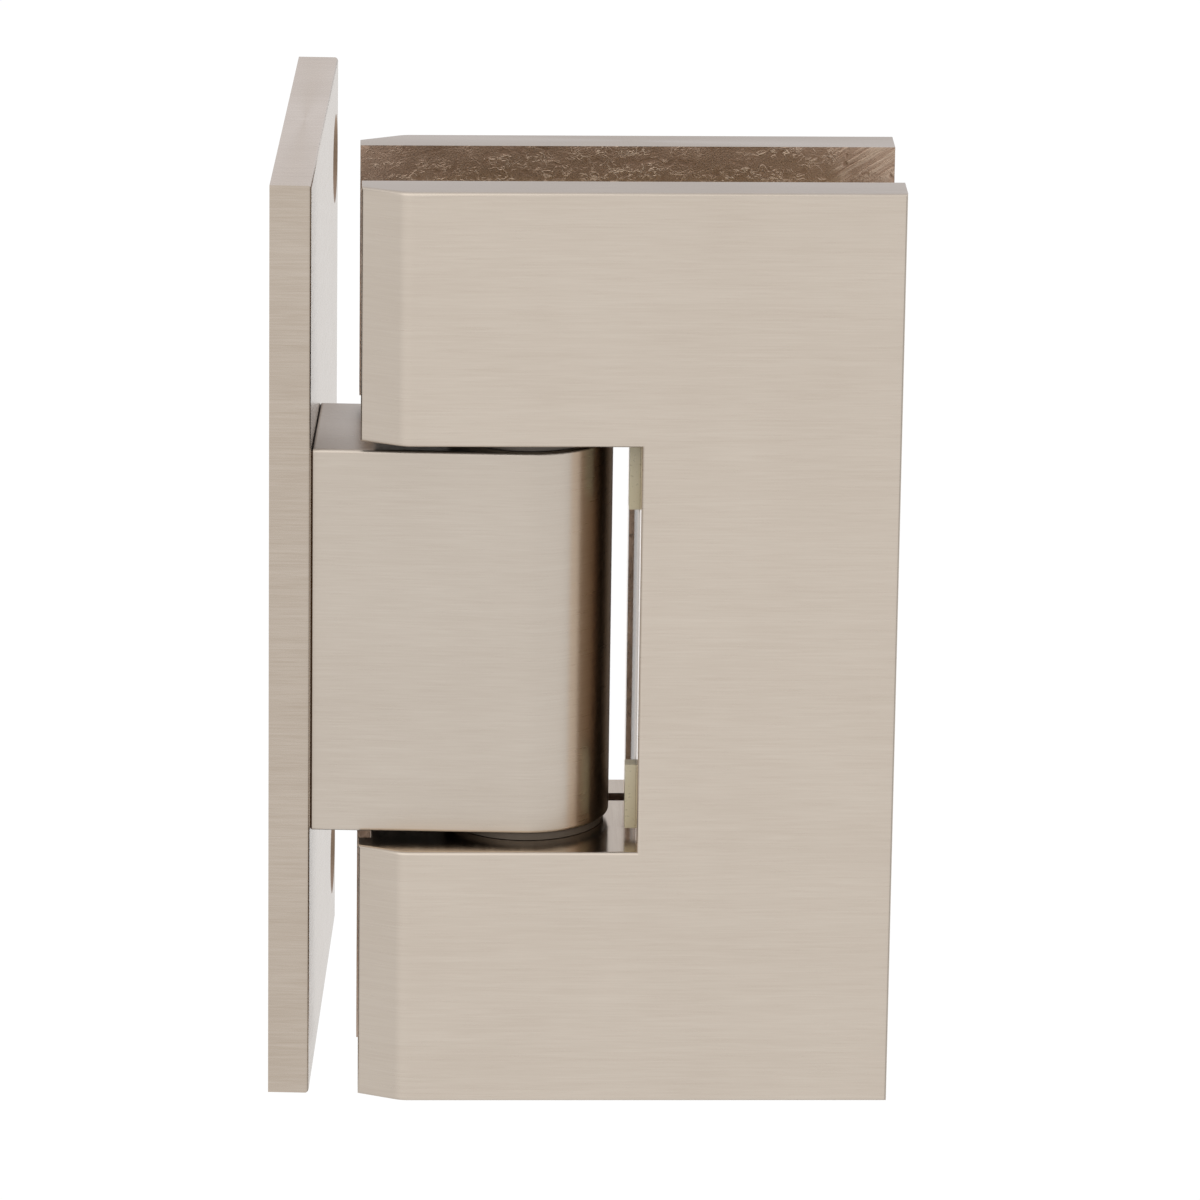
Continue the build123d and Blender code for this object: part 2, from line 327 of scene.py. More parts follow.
@dataclass(frozen=True)
class BrushedNickel:
    """Satin nickel plate on brass. Fine level brush lines give soft streaks and a blur that runs upright."""

    name: str
    place: LeafPlace | None = None
    lay: Lay = Lay.LEVEL
    pale: str = "D4C9BC"
    deep: str = "C4B7A9"
    level_sheen_gain: float = 1.0            # painted sheen: how much brighter the colour of level faces is than that of upright faces
    underside_shade_gain: float = 1.0            # painted shade: gain by which the colour of faces that look down is darkened
    seam_mm: float | None = None       # painted shade: X up to which the edge is painted dark as the shade of the seam
    seam_fade_mm: float = 0.06
    seam_shade_colour: str = "3A2614"
    contrast: float = 1.8              # of the streaks
    fine_share: float = 0.55           # of the fine streaks in the tone
    streak_length_mm: float = 4.5
    streak_width_mm: float = 0.12      # drawn coarser than the real lines, which are too fine to show
    band_length_mm: float = 24.0
    band_width_mm: float = 0.6
    cloud_mm: float = 11.0
    smooth: float = 0.27               # lowest roughness
    rough: float = 0.34                # highest roughness
    bump_mm: float = 0.003

    def streaks(self, tree: Tree, point: Socket, flat: Socket, length_mm: float, width_mm: float,
                detail: float) -> Socket:
        """Noise drawn out along the brush lines.

        Args:
            tree: Node tree of the material.
            point: Place on the piece in metres.
            flat: One on level faces, nought on upright ones.
            length_mm: Length of a streak.
            width_mm: Width of a streak.
            detail: Finer layers of the noise.

        Returns:
            Socket of the noise.
        """
        along, across = 1 / (length_mm * MM), 1 / (width_mm * MM)
        level = (along, along, across) if self.lay is Lay.LEVEL else (across, along, across)
        upright = (along, across, along) if self.lay is Lay.LEVEL else (across, along, along)
        side = add_node(tree, "ShaderNodeMapping", {"Scale": level}, {"Vector": point})
        top = add_node(tree, "ShaderNodeMapping", {"Scale": upright}, {"Vector": point})
        pick = add_node(tree, "ShaderNodeMix", {"data_type": "VECTOR"},
                        {0: flat, 4: side.outputs[0], 5: top.outputs[0]})
        return add_node(tree, "ShaderNodeTexNoise", {"Scale": 1.0, "Detail": detail, "Roughness": 0.6},
                        {"Vector": pick.outputs[1]}).outputs["Fac"]

    def paint_seam_shade(self, tree: Tree, point: Socket, colour: Socket) -> Socket:
        """Paint the shade of the seam onto the edge that lies in it, where there is one.

        Args:
            tree: Node tree of the material.
            point: Place on the piece in metres.
            colour: Colour of the metal.

        Returns:
            Socket of the colour with the painted seam shade.
        """
        if self.seam_mm is None:
            return colour
        lit = spread(tree, part_of(tree, point, "X"), self.seam_mm * MM,
                     (self.seam_mm + self.seam_fade_mm) * MM)
        return add_node(tree, "ShaderNodeMix", {"data_type": "RGBA", 6: linear(self.seam_shade_colour)},
                        {0: lit, 7: colour}).outputs[2]

    def material(self) -> bpy.types.Material:
        """Make the material.

        Returns:
            Material with streaks in its colour, roughness and bump.
        """
        material, tree = new_material(self.name)
        point = self.place.point(tree) if self.place else object_point(tree)
        up = part_of(tree, add_node(tree, "ShaderNodeNewGeometry").outputs["Normal"], "Z")
        flat = reckon(tree, "GREATER_THAN", reckon(tree, "ABSOLUTE", up), LEVEL_FROM)
        under = reckon(tree, "LESS_THAN", up, -LEVEL_FROM)
        fine = self.streaks(tree, point, flat, self.streak_length_mm, self.streak_width_mm, 3.0)
        bands = self.streaks(tree, point, flat, self.band_length_mm, self.band_width_mm, 2.0)
        cloud = noise(tree, point, self.cloud_mm, 2.0)
        soft = add_node(tree, "ShaderNodeMix", {0: 0.5}, {2: bands, 3: cloud}).outputs[0]
        tone = add_node(tree, "ShaderNodeMix", {0: self.fine_share}, {2: soft, 3: fine}).outputs[0]
        reach = 0.5 / self.contrast
        colour = tint(tree, spread(tree, tone, 0.5 - reach, 0.5 + reach), self.deep, self.pale)
        # Painted light in the colour: level faces are brightened as a painted sheen, and faces that look down
        # are darkened as painted shade.
        for where, gain in ((flat, self.level_sheen_gain), (under, self.underside_shade_gain)):
            colour = dim(tree, colour, spread(tree, where, 0.0, 1.0, 1.0, gain))
        # Painted shade in the seam beside the wall plate.
        colour = self.paint_seam_shade(tree, point, colour)
        rough = spread(tree, fine, 0.3, 0.7, self.smooth, self.rough)
        tangent = add_node(tree, "ShaderNodeTangent", {"direction_type": "RADIAL", "axis": "Z"}).outputs[0]
        coat(tree, {"Metallic": 1.0, "Anisotropic": 0.7, "Anisotropic Rotation": 0.25},
             {"Base Color": colour, "Roughness": rough, "Normal": bump(tree, fine, 0.5, self.bump_mm),
              "Tangent": tangent})
        return material


@dataclass(frozen=True)
class CastNickel:
    """Nickel plate on the raw skin of a sand casting: dull, brown, crinkled and pitted, with its raised marks
    painted paler and its hollows darker, as painted highlight and shade.

    Each range below is of a noise, from where its mark is absent to where it is full.
    """

    name: str
    place: LeafPlace
    pale: str = "CEBAA6"
    deep: str = "AD9380"
    roughness: float = 0.42
    relief_mm: float = 0.085
    crinkle_mm: float = 0.6
    crinkle_stretch: float = 1.6       # of the crinkles along the leaf
    crinkle_line: float = 0.04         # half the width of a crinkle, as a share of its noise
    break_mm: float = 1.1              # length at which the crinkles break off
    break_range: tuple[float, float] = (0.42, 0.57)
    patch_mm: float = 6.0
    patch_range: tuple[float, float] = (0.27, 0.6)
    pit_mm: float = 1.1
    pit_range: tuple[float, float] = (0.28, 0.38)
    grit_mm: float = 0.16
    grit_share: float = 0.35           # of the grit in the skin
    scratch_length_mm: float = 6.0
    scratch_width_mm: float = 0.35
    scratch_slope: float = 32.0        # in degrees
    scratch_range: tuple[float, float] = (0.4, 0.75)
    ground_width_mm: float = 8.9       # at the leaf's right end, where the skin is ground off
    ground_fade_mm: float = 4.0
    ground_range: tuple[float, float] = (0.3, 0.5)

    def crinkles(self, tree: Tree, point: Socket, patches: Socket) -> Socket:
        """Thin broken lines that fill some patches.

        Args:
            tree: Node tree of the material.
            point: Place on the piece in metres.
            patches: Noise of the patches.

        Returns:
            Socket of the lines' height.
        """
        level = add_node(tree, "ShaderNodeMapping", {"Scale": (1 / self.crinkle_stretch, 1.0, 1.0)},
                         {"Vector": point}).outputs[0]
        waves = noise(tree, level, self.crinkle_mm, 2.0, Distortion=1.0)
        away = reckon(tree, "ABSOLUTE", reckon(tree, "SUBTRACT", waves, 0.5))
        line = spread(tree, away, 0.0, self.crinkle_line, 1.0, 0.0)
        whole = spread(tree, noise(tree, level, self.break_mm, 2.0), *self.break_range)
        filled = reckon(tree, "MULTIPLY", line, spread(tree, patches, *self.patch_range))
        return reckon(tree, "MULTIPLY", filled, whole)

    def scratches(self, tree: Tree, point: Socket) -> Socket:
        """Long slanting marks of the grinding.

        Args:
            tree: Node tree of the material.
            point: Place on the piece in metres.

        Returns:
            Socket of the marks' height.
        """
        slanted = add_node(tree, "ShaderNodeMapping", {"Rotation": (0, math.radians(self.scratch_slope), 0)},
                           {"Vector": point}).outputs[0]
        size = (1 / (self.scratch_length_mm * MM), 1.0, 1 / (self.scratch_width_mm * MM))
        drawn = add_node(tree, "ShaderNodeMapping", {"Scale": size}, {"Vector": slanted}).outputs[0]
        marks = add_node(tree, "ShaderNodeTexNoise", {"Scale": 1.0, "Detail": 3.0},
                         {"Vector": drawn}).outputs["Fac"]
        return spread(tree, marks, *self.scratch_range, 0.1, 0.8)

    def ground(self, tree: Tree, point: Socket, patches: Socket) -> Socket:
        """Find where the skin is ground off.

        Args:
            tree: Node tree of the material.
            point: Place on the piece in metres.
            patches: Noise that frays its edge.

        Returns:
            Socket with one where it is ground off.
        """
        start = self.place.points("clamp_cover")[:, 0].max() - self.place.pin.x - self.ground_width_mm * MM
        reach = spread(tree, part_of(tree, point, "X"), start, start + self.ground_fade_mm * MM)
        return spread(tree, reckon(tree, "MULTIPLY", reach, patches), *self.ground_range)

    def material(self) -> bpy.types.Material:
        """Make the material.

        Returns:
            Material with crinkles in patches, pits, grit and ground scratches at the far end.
        """
        material, tree = new_material(self.name)
        point = self.place.point(tree)
        patches = noise(tree, point, self.patch_mm, 3.0)
        pit = spread(tree, noise(tree, point, self.pit_mm, 1.0), *self.pit_range)
        skin = add_node(tree, "ShaderNodeMix", {0: self.grit_share},
                        {2: self.crinkles(tree, point, patches),
                         3: noise(tree, point, self.grit_mm, 2.0)}).outputs[0]
        relief = add_node(tree, "ShaderNodeMix",
                          links={0: self.ground(tree, point, patches), 2: skin,
                                 3: self.scratches(tree, point)}).outputs[0]
        height = reckon(tree, "MULTIPLY", relief, pit)
        # Painted highlight and shade: the higher the relief, the paler the colour.
        colour = tint(tree, spread(tree, height, 0.1, 0.75), self.deep, self.pale)
        coat(tree, {"Metallic": 1.0, "Roughness": self.roughness},
             {"Base Color": colour, "Normal": bump(tree, height, 0.9, self.relief_mm)})
        return material


@dataclass(frozen=True)
class ToolMarkedMetal:
    """Metal with fine tool marks, glossier than the plate: steel, bored nickel and casting skin with painted
    shade.
    """

    name: str
    pale: str
    deep: str
    roughness: float
    roughness_spread: float = 0.08     # to each side
    mark_mm: float = 0.18
    relief_mm: float = 0.01
    shade_y_mm: float | None = None     # painted shade: Y behind which the colour is darkened, deeper in the slot
    shade_fade_mm: float = 3.0
    shade_gain: float = 0.32

    def material(self) -> bpy.types.Material:
        """Make the material.

        Returns:
            Material with fine tool marks.
        """
        material, tree = new_material(self.name)
        point = object_point(tree)
        marks = noise(tree, point, self.mark_mm, 3.0)
        colour = tint(tree, marks, self.deep, self.pale)
        # Painted shade: the colour darkens behind a Y, deeper in the slot.
        if self.shade_y_mm is not None:
            gain = spread(tree, part_of(tree, point, "Y"), (self.shade_y_mm - self.shade_fade_mm) * MM,
                          self.shade_y_mm * MM, 1.0, self.shade_gain)
            colour = dim(tree, colour, gain)
        rough = spread(tree, marks, 0.0, 1.0, self.roughness - self.roughness_spread,
                       self.roughness + self.roughness_spread)
        coat(tree, {"Metallic": 1.0},
             {"Base Color": colour, "Roughness": rough, "Normal": bump(tree, marks, 0.2, self.relief_mm)})
        return material


@dataclass(frozen=True)
class ClearVinyl:
    """Soft clear vinyl sheet, slightly yellow, satin from the mould, with a faint cloudiness inside."""

    name: str
    pale: str = "DAD1B6"
    deep: str = "CABE9A"
    cloud_mm: float = 5.0
    grain_mm: float = 0.25
    relief_mm: float = 0.004
    smooth: float = 0.22               # lowest roughness
    rough: float = 0.38                # highest roughness
    clear_share: float = 0.15          # of the light that passes through

    def material(self) -> bpy.types.Material:
        """Make the material.

        Returns:
            Translucent material with a satin surface.
        """
        material, tree = new_material(self.name)
        point = object_point(tree)
        colour = tint(tree, noise(tree, point, self.cloud_mm, 3.0), self.deep, self.pale)
        grain = noise(tree, point, self.grain_mm, 2.0)
        rough = spread(tree, grain, 0.0, 1.0, self.smooth, self.rough)
        coat(tree, {"IOR": PLASTIC_IOR, "Transmission Weight": self.clear_share},
             {"Base Color": colour, "Roughness": rough, "Normal": bump(tree, grain, 0.06, self.relief_mm)})
        return material


@dataclass(frozen=True)
class DullPlastic:
    """Machined bearing plastic: dull, with a fine grain."""

    name: str
    pale: str
    deep: str
    grain_mm: float = 0.6
    relief_mm: float = 0.02
    roughness: float = 0.5

    def material(self) -> bpy.types.Material:
        """Make the material.

        Returns:
            Dull plastic material with a fine grain.
        """
        material, tree = new_material(self.name)
        grain = noise(tree, object_point(tree), self.grain_mm, 4.0)
        coat(tree, {"IOR": PLASTIC_IOR, "Roughness": self.roughness},
             {"Base Color": tint(tree, grain, self.deep, self.pale),
              "Normal": bump(tree, grain, 0.2, self.relief_mm)})
        return material


@dataclass(frozen=True)
class Finishes:
    """All the finishes on the hinge."""

    wall: bpy.types.Material
    block: bpy.types.Material
    leaf: bpy.types.Material
    milled: bpy.types.Material
    bright: bpy.types.Material
    scale: bpy.types.Material
    cast: bpy.types.Material
    vinyl: bpy.types.Material
    nylon: bpy.types.Material
    acetal: bpy.types.Material
    bored: bpy.types.Material
    ground: bpy.types.Material
    screw: bpy.types.Material

    @classmethod
    def make(cls, place: LeafPlace) -> "Finishes":
        """Make every material once.

        Args:
            place: Where the leaf stands.

        Returns:
            The finishes.
        """
        return cls(
            # The wall plate's level faces are painted brighter, as a painted sheen.
            wall=BrushedNickel("brushed_nickel_wall_plate", pale="C6BAAD", deep="B6A899", level_sheen_gain=1.42,
                               contrast=3.0, smooth=0.22, rough=0.3).material(),
            # The block and the milled shelves are painted dark on their undersides, as painted shade.
            block=BrushedNickel("brushed_nickel_block", pale="CFC5B9", deep="BFB3A6",
                                underside_shade_gain=0.12, seam_mm=4.02).material(),
            leaf=BrushedNickel("brushed_nickel_leaf", place).material(),
            milled=BrushedNickel("milled_nickel_leaf", place, Lay.ACROSS, "D4C6B4", "C4B4A2",
                                 streak_width_mm=0.25, contrast=3.0, smooth=0.15, rough=0.2,
                                 bump_mm=0.0015, underside_shade_gain=0.12).material(),
            # A milled band, painted paler than nickel can be, as the light it catches.
            bright=BrushedNickel("milled_band_with_painted_light", place, Lay.ACROSS, "FFF2E4", "F8E8D8",
                                 smooth=0.12, rough=0.18).material(),
            # The casting skin on the notch wall's rear and the spine's side carries painted shade.
            scale=ToolMarkedMetal("casting_skin_with_painted_shade", "BDA68F", "A48E79", 0.26, shade_y_mm=-0.5).material(),
            cast=CastNickel("cast_nickel_leaf", place).material(),
            vinyl=ClearVinyl("clear_vinyl").material(),
            nylon=DullPlastic("natural_nylon", "CFC9BC", "BAB3A4").material(),
            acetal=DullPlastic("brown_acetal", "60564B", "544A40").material(),
            bored=ToolMarkedMetal("bored_nickel", "B49C86", "967E6A", 0.4).material(),
            ground=ToolMarkedMetal("ground_steel", "D0CFCC", "B4B2AE", 0.25).material(),
            screw=ToolMarkedMetal("satin_steel", "CBC6BE", "AFA9A0", 0.32).material())


def activate(piece: bpy.types.Object) -> None:
    """Select one object alone and make it active."""
    bpy.ops.object.select_all(action="DESELECT")
    piece.select_set(True)
    bpy.context.view_layer.objects.active = piece


@contextmanager
def editing(piece: bpy.types.Object) -> Iterator[None]:
    """Hold one object in edit mode."""
    activate(piece)
    bpy.ops.object.mode_set(mode="EDIT")
    yield
    bpy.ops.object.mode_set(mode="OBJECT")


def apply_modifier(piece: bpy.types.Object, name: str, kind: str, **settings: object) -> None:
    """Add a modifier and apply it.

    Args:
        piece: Object to change.
        name: Name of the modifier.
        kind: Type of the modifier.
        settings: Values of the modifier.
    """
    activate(piece)
    modifier = piece.modifiers.new(name, kind)
    for key, value in settings.items():
        setattr(modifier, key, value)
    bpy.ops.object.modifier_apply(modifier=name)


def carry(piece: bpy.types.Object, matrix: Matrix) -> None:
    """Move a mesh by a matrix, with its object left at the origin.

    Args:
        piece: Object to move.
        matrix: The move.
    """
    activate(piece)
    piece.matrix_world = matrix
    bpy.ops.object.transform_apply()


def cut_faces(piece: bpy.types.Object, chosen: np.ndarray, spot: Vector, way: Vector) -> None:
    """Cut some faces of a mesh with a plane.

    Args:
        piece: Object with the mesh.
        chosen: One truth value for each face.
        spot: A point of the plane.
        way: Normal of the plane.
    """
    mesh = piece.data
    mesh.vertices.foreach_set("select", np.zeros(len(mesh.vertices), bool))
    mesh.edges.foreach_set("select", np.zeros(len(mesh.edges), bool))
    mesh.polygons.foreach_set("select", chosen)
    with editing(piece):
        bpy.ops.mesh.select_mode(type="FACE")
        bpy.ops.mesh.bisect(plane_co=spot, plane_no=way)


def face_places(piece: bpy.types.Object) -> tuple[np.ndarray, np.ndarray]:
    """Centres and normals of a mesh's faces.

    Args:
        piece: Object with the mesh.

    Returns:
        Two arrays with a row for each face.
    """
    count = len(piece.data.polygons)
    centres, normals = np.zeros(count * 3, np.float32), np.zeros(count * 3, np.float32)
    piece.data.polygons.foreach_get("center", centres)
    piece.data.polygons.foreach_get("normal", normals)
    return centres.reshape(-1, 3).astype(float), normals.reshape(-1, 3).astype(float)


def whole_copy(node: str, name: str) -> bpy.types.Object:
    """Copy a solid's mesh to a new piece and merge its loose triangles into whole faces.

    Args:
        node: Name of the solid.
        name: Name of the new piece.

    Returns:
        The new piece, with no material.
    """
    piece = bpy.data.objects.new(name, frame["nodes"][node].data.copy())
    bpy.context.scene.collection.objects.link(piece)
    piece.data.materials.clear()
    with editing(piece):
        bpy.ops.mesh.select_all(action="SELECT")
        bpy.ops.mesh.customdata_custom_splitnormals_clear()
        bpy.ops.mesh.remove_doubles(threshold=0.002 * MM)
        bpy.ops.mesh.dissolve_limited(angle_limit=math.radians(0.3))
    return piece


def shade(piece: bpy.types.Object, angle: float = 35.0) -> None:
    """Shade a piece smooth but for its sharp edges, with the flat faces kept flat.

    Args:
        piece: Object to shade.
        angle: Edges sharper than this, in degrees, stay sharp.
    """
    activate(piece)
    bpy.ops.object.shade_smooth_by_angle(angle=math.radians(angle))
    apply_modifier(piece, "flat_faces", "WEIGHTED_NORMAL", keep_sharp=True, weight=100)


def settle(piece: bpy.types.Object, body: str, slot: str, *nodes: str) -> None:
    """Tie a finished piece to its body and hide the solids that it stands for.

    Args:
        piece: Finished piece.
        body: Body that it rides on.
        slot: Material slot of the record. Not used.
        nodes: Solids that it stands for.
    """
    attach(piece, body)
    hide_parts(*nodes)
    log.info("%s: %d faces, rides on %s", piece.name, len(piece.data.polygons), body)


@dataclass
class LeafPlate:
    """One plate of the clamp leaf, brushed outside and rough from the sand inside."""

    node: str
    name: str
    place: LeafPlace
    finishes: Finishes
    inner_y: float                     # of the inner face, in the leaf's frame
    cell_mm: float = 0.7               # of the net that carries the cast relief
    swell_mm: float = 0.22             # depth of the broad waves in the casting
    swell_size_mm: float = 4.5
    crust_mm: float = 0.13             # depth of the crust
    crust_size_mm: float = 1.1
    bright_mm: float = 2.9             # depth of the band on the notch's wall, behind the outer face, that is milled and painted bright as lit, with painted shade behind it
    notch_slack_mm: float = 0.2        # between the upper washer and the farthest level face of the notch
    hole_slack_mm: float = 0.4         # between a clamp screw's head and the farthest face of its hole
    piece: bpy.types.Object = field(init=False)

    @property
    def outward(self) -> float:
        """Sign of Y from the inner face to the outer one."""
        return math.copysign(1.0, self.inner_y)

    def leaf_faces(self) -> tuple[np.ndarray, np.ndarray]:
        """Give the centres and normals of the faces in the leaf's frame.

        Returns:
            Two arrays with a row for each face.
        """
        centres, normals = face_places(self.piece)
        return self.place.square(centres), normals @ np.array(self.place.to_leaf())[:3, :3].T

    def inner_faces(self) -> np.ndarray:
        """Find the faces that lie on the inner plane.

        Returns:
            One truth value for each face.
        """
        centres, normals = self.leaf_faces()
        on_plane = abs(centres[:, 1] - self.inner_y) < NEAR_MM * MM
        return on_plane & (normals[:, 1] * -self.outward > FACING)

    def notch_faces(self) -> tuple[np.ndarray, np.ndarray]:
        """Find the faces of the notch.

        Returns:
            One truth value for each face, for the level faces and for the wall.
        """
        centres, normals = self.leaf_faces()
        near = abs(centres[:, 2]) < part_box("upper_washer")[1].z + self.notch_slack_mm * MM
        return near & (abs(normals[:, 2]) > FACING), near & (normals[:, 0] < -FACING)

    def band_y(self) -> float:
        """Y in the leaf's frame at which the bright band of the notch's wall ends."""
        return self.outward * (abs(self.place.points(self.node)[:, 1]).max() - self.bright_mm * MM)

    def cut(self, chosen: np.ndarray, axis: Vector, distance: float) -> None:
        """Cut some faces with a plane across an axis of the leaf.

        Args:
            chosen: One truth value for each face.
            axis: The axis, in the leaf's frame.
            distance: From the pin to the plane along the axis.
        """
        back = self.place.to_leaf().inverted()
        cut_faces(self.piece, chosen, back @ (axis * distance), back.to_3x3() @ axis)

    def cut_band(self) -> None:
        """Cut the notch's wall where its bright band ends."""
        self.cut(self.notch_faces()[1], Vector((0, 1, 0)), self.band_y())

    def cut_net(self) -> None:
        """Cut the inner face into a net of small cells with planes along the leaf and up it."""
        low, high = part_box(self.node)
        lines = ((Vector((1, 0, 0)), low.x - self.place.pin.x, high.x - self.place.pin.x),
                 (Vector((0, 0, 1)), low.z, high.z))
        for axis, start, end in lines:
            count = int((end - start) / (self.cell_mm * MM))
            for i in range(1, count):
                self.cut(self.inner_faces(), axis, start + (end - start) * i / count)

    def roughen(self) -> None:
        """Raise the casting's waves and crust on the net, away from its edges."""
        mesh = self.piece.data
        inside = np.zeros(len(mesh.vertices), bool)
        border = np.zeros(len(mesh.vertices), bool)
        for polygon, inner in zip(mesh.polygons, self.inner_faces()):
            (inside if inner else border)[list(polygon.vertices)] = True
        group = self.piece.vertex_groups.new(name="cast_skin")
        group.add([int(i) for i in np.flatnonzero(inside & ~border)], 1.0, "REPLACE")
        for name, depth, size in (("casting_swell", self.swell_mm, self.swell_size_mm),
                                  ("casting_crust", self.crust_mm, self.crust_size_mm)):
            texture = bpy.data.textures.new(f"{self.name}_{name}", "CLOUDS")
            texture.noise_scale = size * MM
            texture.noise_depth = 2
            apply_modifier(self.piece, name, "DISPLACE", texture=texture, texture_coords="LOCAL",
                           direction="NORMAL", mid_level=0.5, strength=depth * MM, vertex_group=group.name)
        self.piece.vertex_groups.clear()

    def dress(self) -> None:
        """Give each face its finish: cast inside, cut in the notch, bored in holes, brushed elsewhere; the
        notch's wall is painted bright in front as lit and dark behind as shade.
        """
        centres, normals = self.leaf_faces()
        inside = self.inner_faces() | ((centres[:, 1] - self.inner_y) * self.outward < 0.01 * MM)
        shelves, wall = self.notch_faces()
        finish = np.where(inside, Skin.CAST, Skin.BRUSHED)
        finish[shelves] = Skin.MILLED
        # Painted light: the front band of the notch's wall is milled and painted pale as lit; the part behind
        # is casting skin with painted shade.
        finish[wall] = np.where(abs(centres[wall, 1]) > abs(self.band_y()), Skin.BRIGHT, Skin.SCALE)
        # Painted shade: the inner faces that face the wall take the darkened casting skin.
        finish[inside & (normals[:, 0] < -FACING)] = Skin.SCALE
        for half in Half:
            low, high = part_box(f"{half.word}_clamp_screw")
            axis = self.place.square(np.array([(low + high) / 2]))[0]
            away = np.hypot(centres[:, 0] - axis[0], centres[:, 2] - axis[2])
            near = away < (high.z - low.z) / 2 + self.hole_slack_mm * MM
            finish[near & (abs(normals[:, 1]) < FACING)] = Skin.BORED
        looks = self.finishes
        for material in (looks.leaf, looks.cast, looks.milled, looks.bored, looks.bright, looks.scale):
            self.piece.data.materials.append(material)
        self.piece.data.polygons.foreach_set("material_index", finish.astype(np.int32))

    def build(self) -> None:
        """Copy the solid, cut and roughen its inner face, dress it and tie it to the leaf."""
        self.piece = whole_copy(self.node, self.name)
        self.cut_net()
        self.cut_band()
        self.dress()
        self.roughen()
        shade(self.piece)
        settle(self.piece, "door_leaf", "leaf_nickel", self.node)


@dataclass
class WallPlate:
    """Brushed plate with bored and countersunk holes."""

    node: str
    name: str
    finishes: Finishes
    margin_mm: float = 0.6             # faces nearer than this to the outline belong to its rounded edges

    def build(self) -> None:
        """Copy the solid, give the holes their own finish and tie it to the wall side."""
        piece = whole_copy(self.node, self.name)
        low, high = (np.array(corner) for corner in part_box(self.node))
        centres, normals = face_places(piece)
        edge = np.minimum(centres - low, high - centres)[:, 1:].min(axis=1)
        holes = (edge > self.margin_mm * MM) & (abs(normals[:, 0]) < 0.99)
        for material in (self.finishes.wall, self.finishes.bored):
            piece.data.materials.append(material)
        piece.data.polygons.foreach_set("material_index", holes.astype(np.int32))
        shade(piece)
        settle(piece, "wall_side", "wall_nickel", self.node)


@dataclass
class ThreadedScrew:
    """Screw with its thread cut: a thinner core than the plain solid's, and a ridge wound round it."""

    node: str
    name: str
    body: str
    head_way: Vector                   # from the tip to the head
    pitch_mm: float
    finishes: Finishes
    depth_share: float = 0.55          # depth of the thread as a share of its pitch
    core_share: float = 0.9            # of the thread's depth by which the core is thinner
    foot_share: float = 0.42           # half the ridge's foot as a share of the pitch
    neck_mm: float = 0.3               # left plain under the head
    steps: int = 24                    # of the ridge in each turn

    def stand(self, piece: bpy.types.Object) -> Matrix:
        """Find where the screw stands: its head's middle as the origin and its head up.

        Args:
            piece: Copy of the plain solid.

        Returns:
            Matrix from the upright screw to its place in the hinge.
        """
        turn = self.head_way.to_track_quat("Z", "Y").to_matrix()
        local = np.array([v.co for v in piece.data.vertices]) @ np.array(turn)
        middle = (local.min(axis=0) + local.max(axis=0)) / 2
        middle[2] = local[:, 2].max()
        return Matrix.Translation(turn @ Vector(middle)) @ turn.to_4x4()

    def thin_core(self, piece: bpy.types.Object, radius: float, depth: float) -> None:
        """Draw the shank in to the thread's root.

        Args:
            piece: Upright screw.
            radius: Radius of the plain shank.
            depth: Depth of the thread.
        """
        spots = np.array([v.co for v in piece.data.vertices])
        shank = abs(np.hypot(spots[:, 0], spots[:, 1]) - radius) < NEAR_MM * MM
        with editing(piece):
            bpy.ops.mesh.select_mode(type="VERT")
            bpy.ops.mesh.select_all(action="DESELECT")
        piece.data.vertices.foreach_set("select", shank)
        core = (radius - self.core_share * depth) / radius
        with editing(piece):
            bpy.ops.transform.resize(value=(core, core, 1), center_override=(0, 0, 0))

    def ridge(self, radius: float, depth: float, low: float, high: float) -> bpy.types.Object:
        """Wind a ridge of triangular section up the shank.

        Args:
            radius: Radius of the ridge's crest.
            depth: Depth of the thread.
            low: Height of its start.
            high: Height that it must stay under.

        Returns:
            The closed ridge.
        """
        pitch = self.pitch_mm * MM
        bpy.ops.object.select_all(action="DESELECT")
        bpy.ops.mesh.primitive_circle_add(vertices=3, radius=1)
        ridge = bpy.context.object
        wide, tall = self.foot_share * pitch / math.cos(math.radians(30)), depth / 1.5
        outward = Matrix(((0, 1, 0, 0), (0, 0, 1, 0), (1, 0, 0, 0), (0, 0, 0, 1)))
        start = Matrix.Translation((radius - tall, 0, low))
        ridge.matrix_world = start @ outward @ Matrix.Diagonal((wide, tall, 1, 1))
        bpy.ops.object.transform_apply()
        turns = int((high - low) / pitch)
        apply_modifier(ridge, "winding", "SCREW", axis="Z", angle=2 * math.pi, screw_offset=pitch,
                       iterations=turns, steps=self.steps, render_steps=self.steps)
        with editing(ridge):
            bpy.ops.mesh.select_all(action="SELECT")
            bpy.ops.mesh.fill_holes(sides=3)
            bpy.ops.mesh.normals_make_consistent(inside=False)
        return ridge

    def build(self) -> None:
        """Copy the plain solid, cut its thread and tie it to its body."""
        piece = whole_copy(self.node, self.name)
        place = self.stand(piece)
        carry(piece, place.inverted())
        spots = np.array([v.co for v in piece.data.vertices])
        length = -spots[:, 2].min()
        radial = np.hypot(spots[:, 0], spots[:, 1])
        radius = radial[spots[:, 2] < -0.7 * length].max()
        head = min(radial.max() - radius + self.neck_mm * MM, length)
        pitch = self.pitch_mm * MM
        depth = self.depth_share * pitch
        self.thin_core(piece, radius, depth)
        ridge = self.ridge(radius, depth, pitch - length, -head - 0.5 * pitch)
        activate(piece)
        ridge.select_set(True)
        bpy.ops.object.join()
        piece.data.materials.append(self.finishes.screw)
        carry(piece, place)
        shade(piece)
        settle(piece, self.body, "screw_steel", self.node)


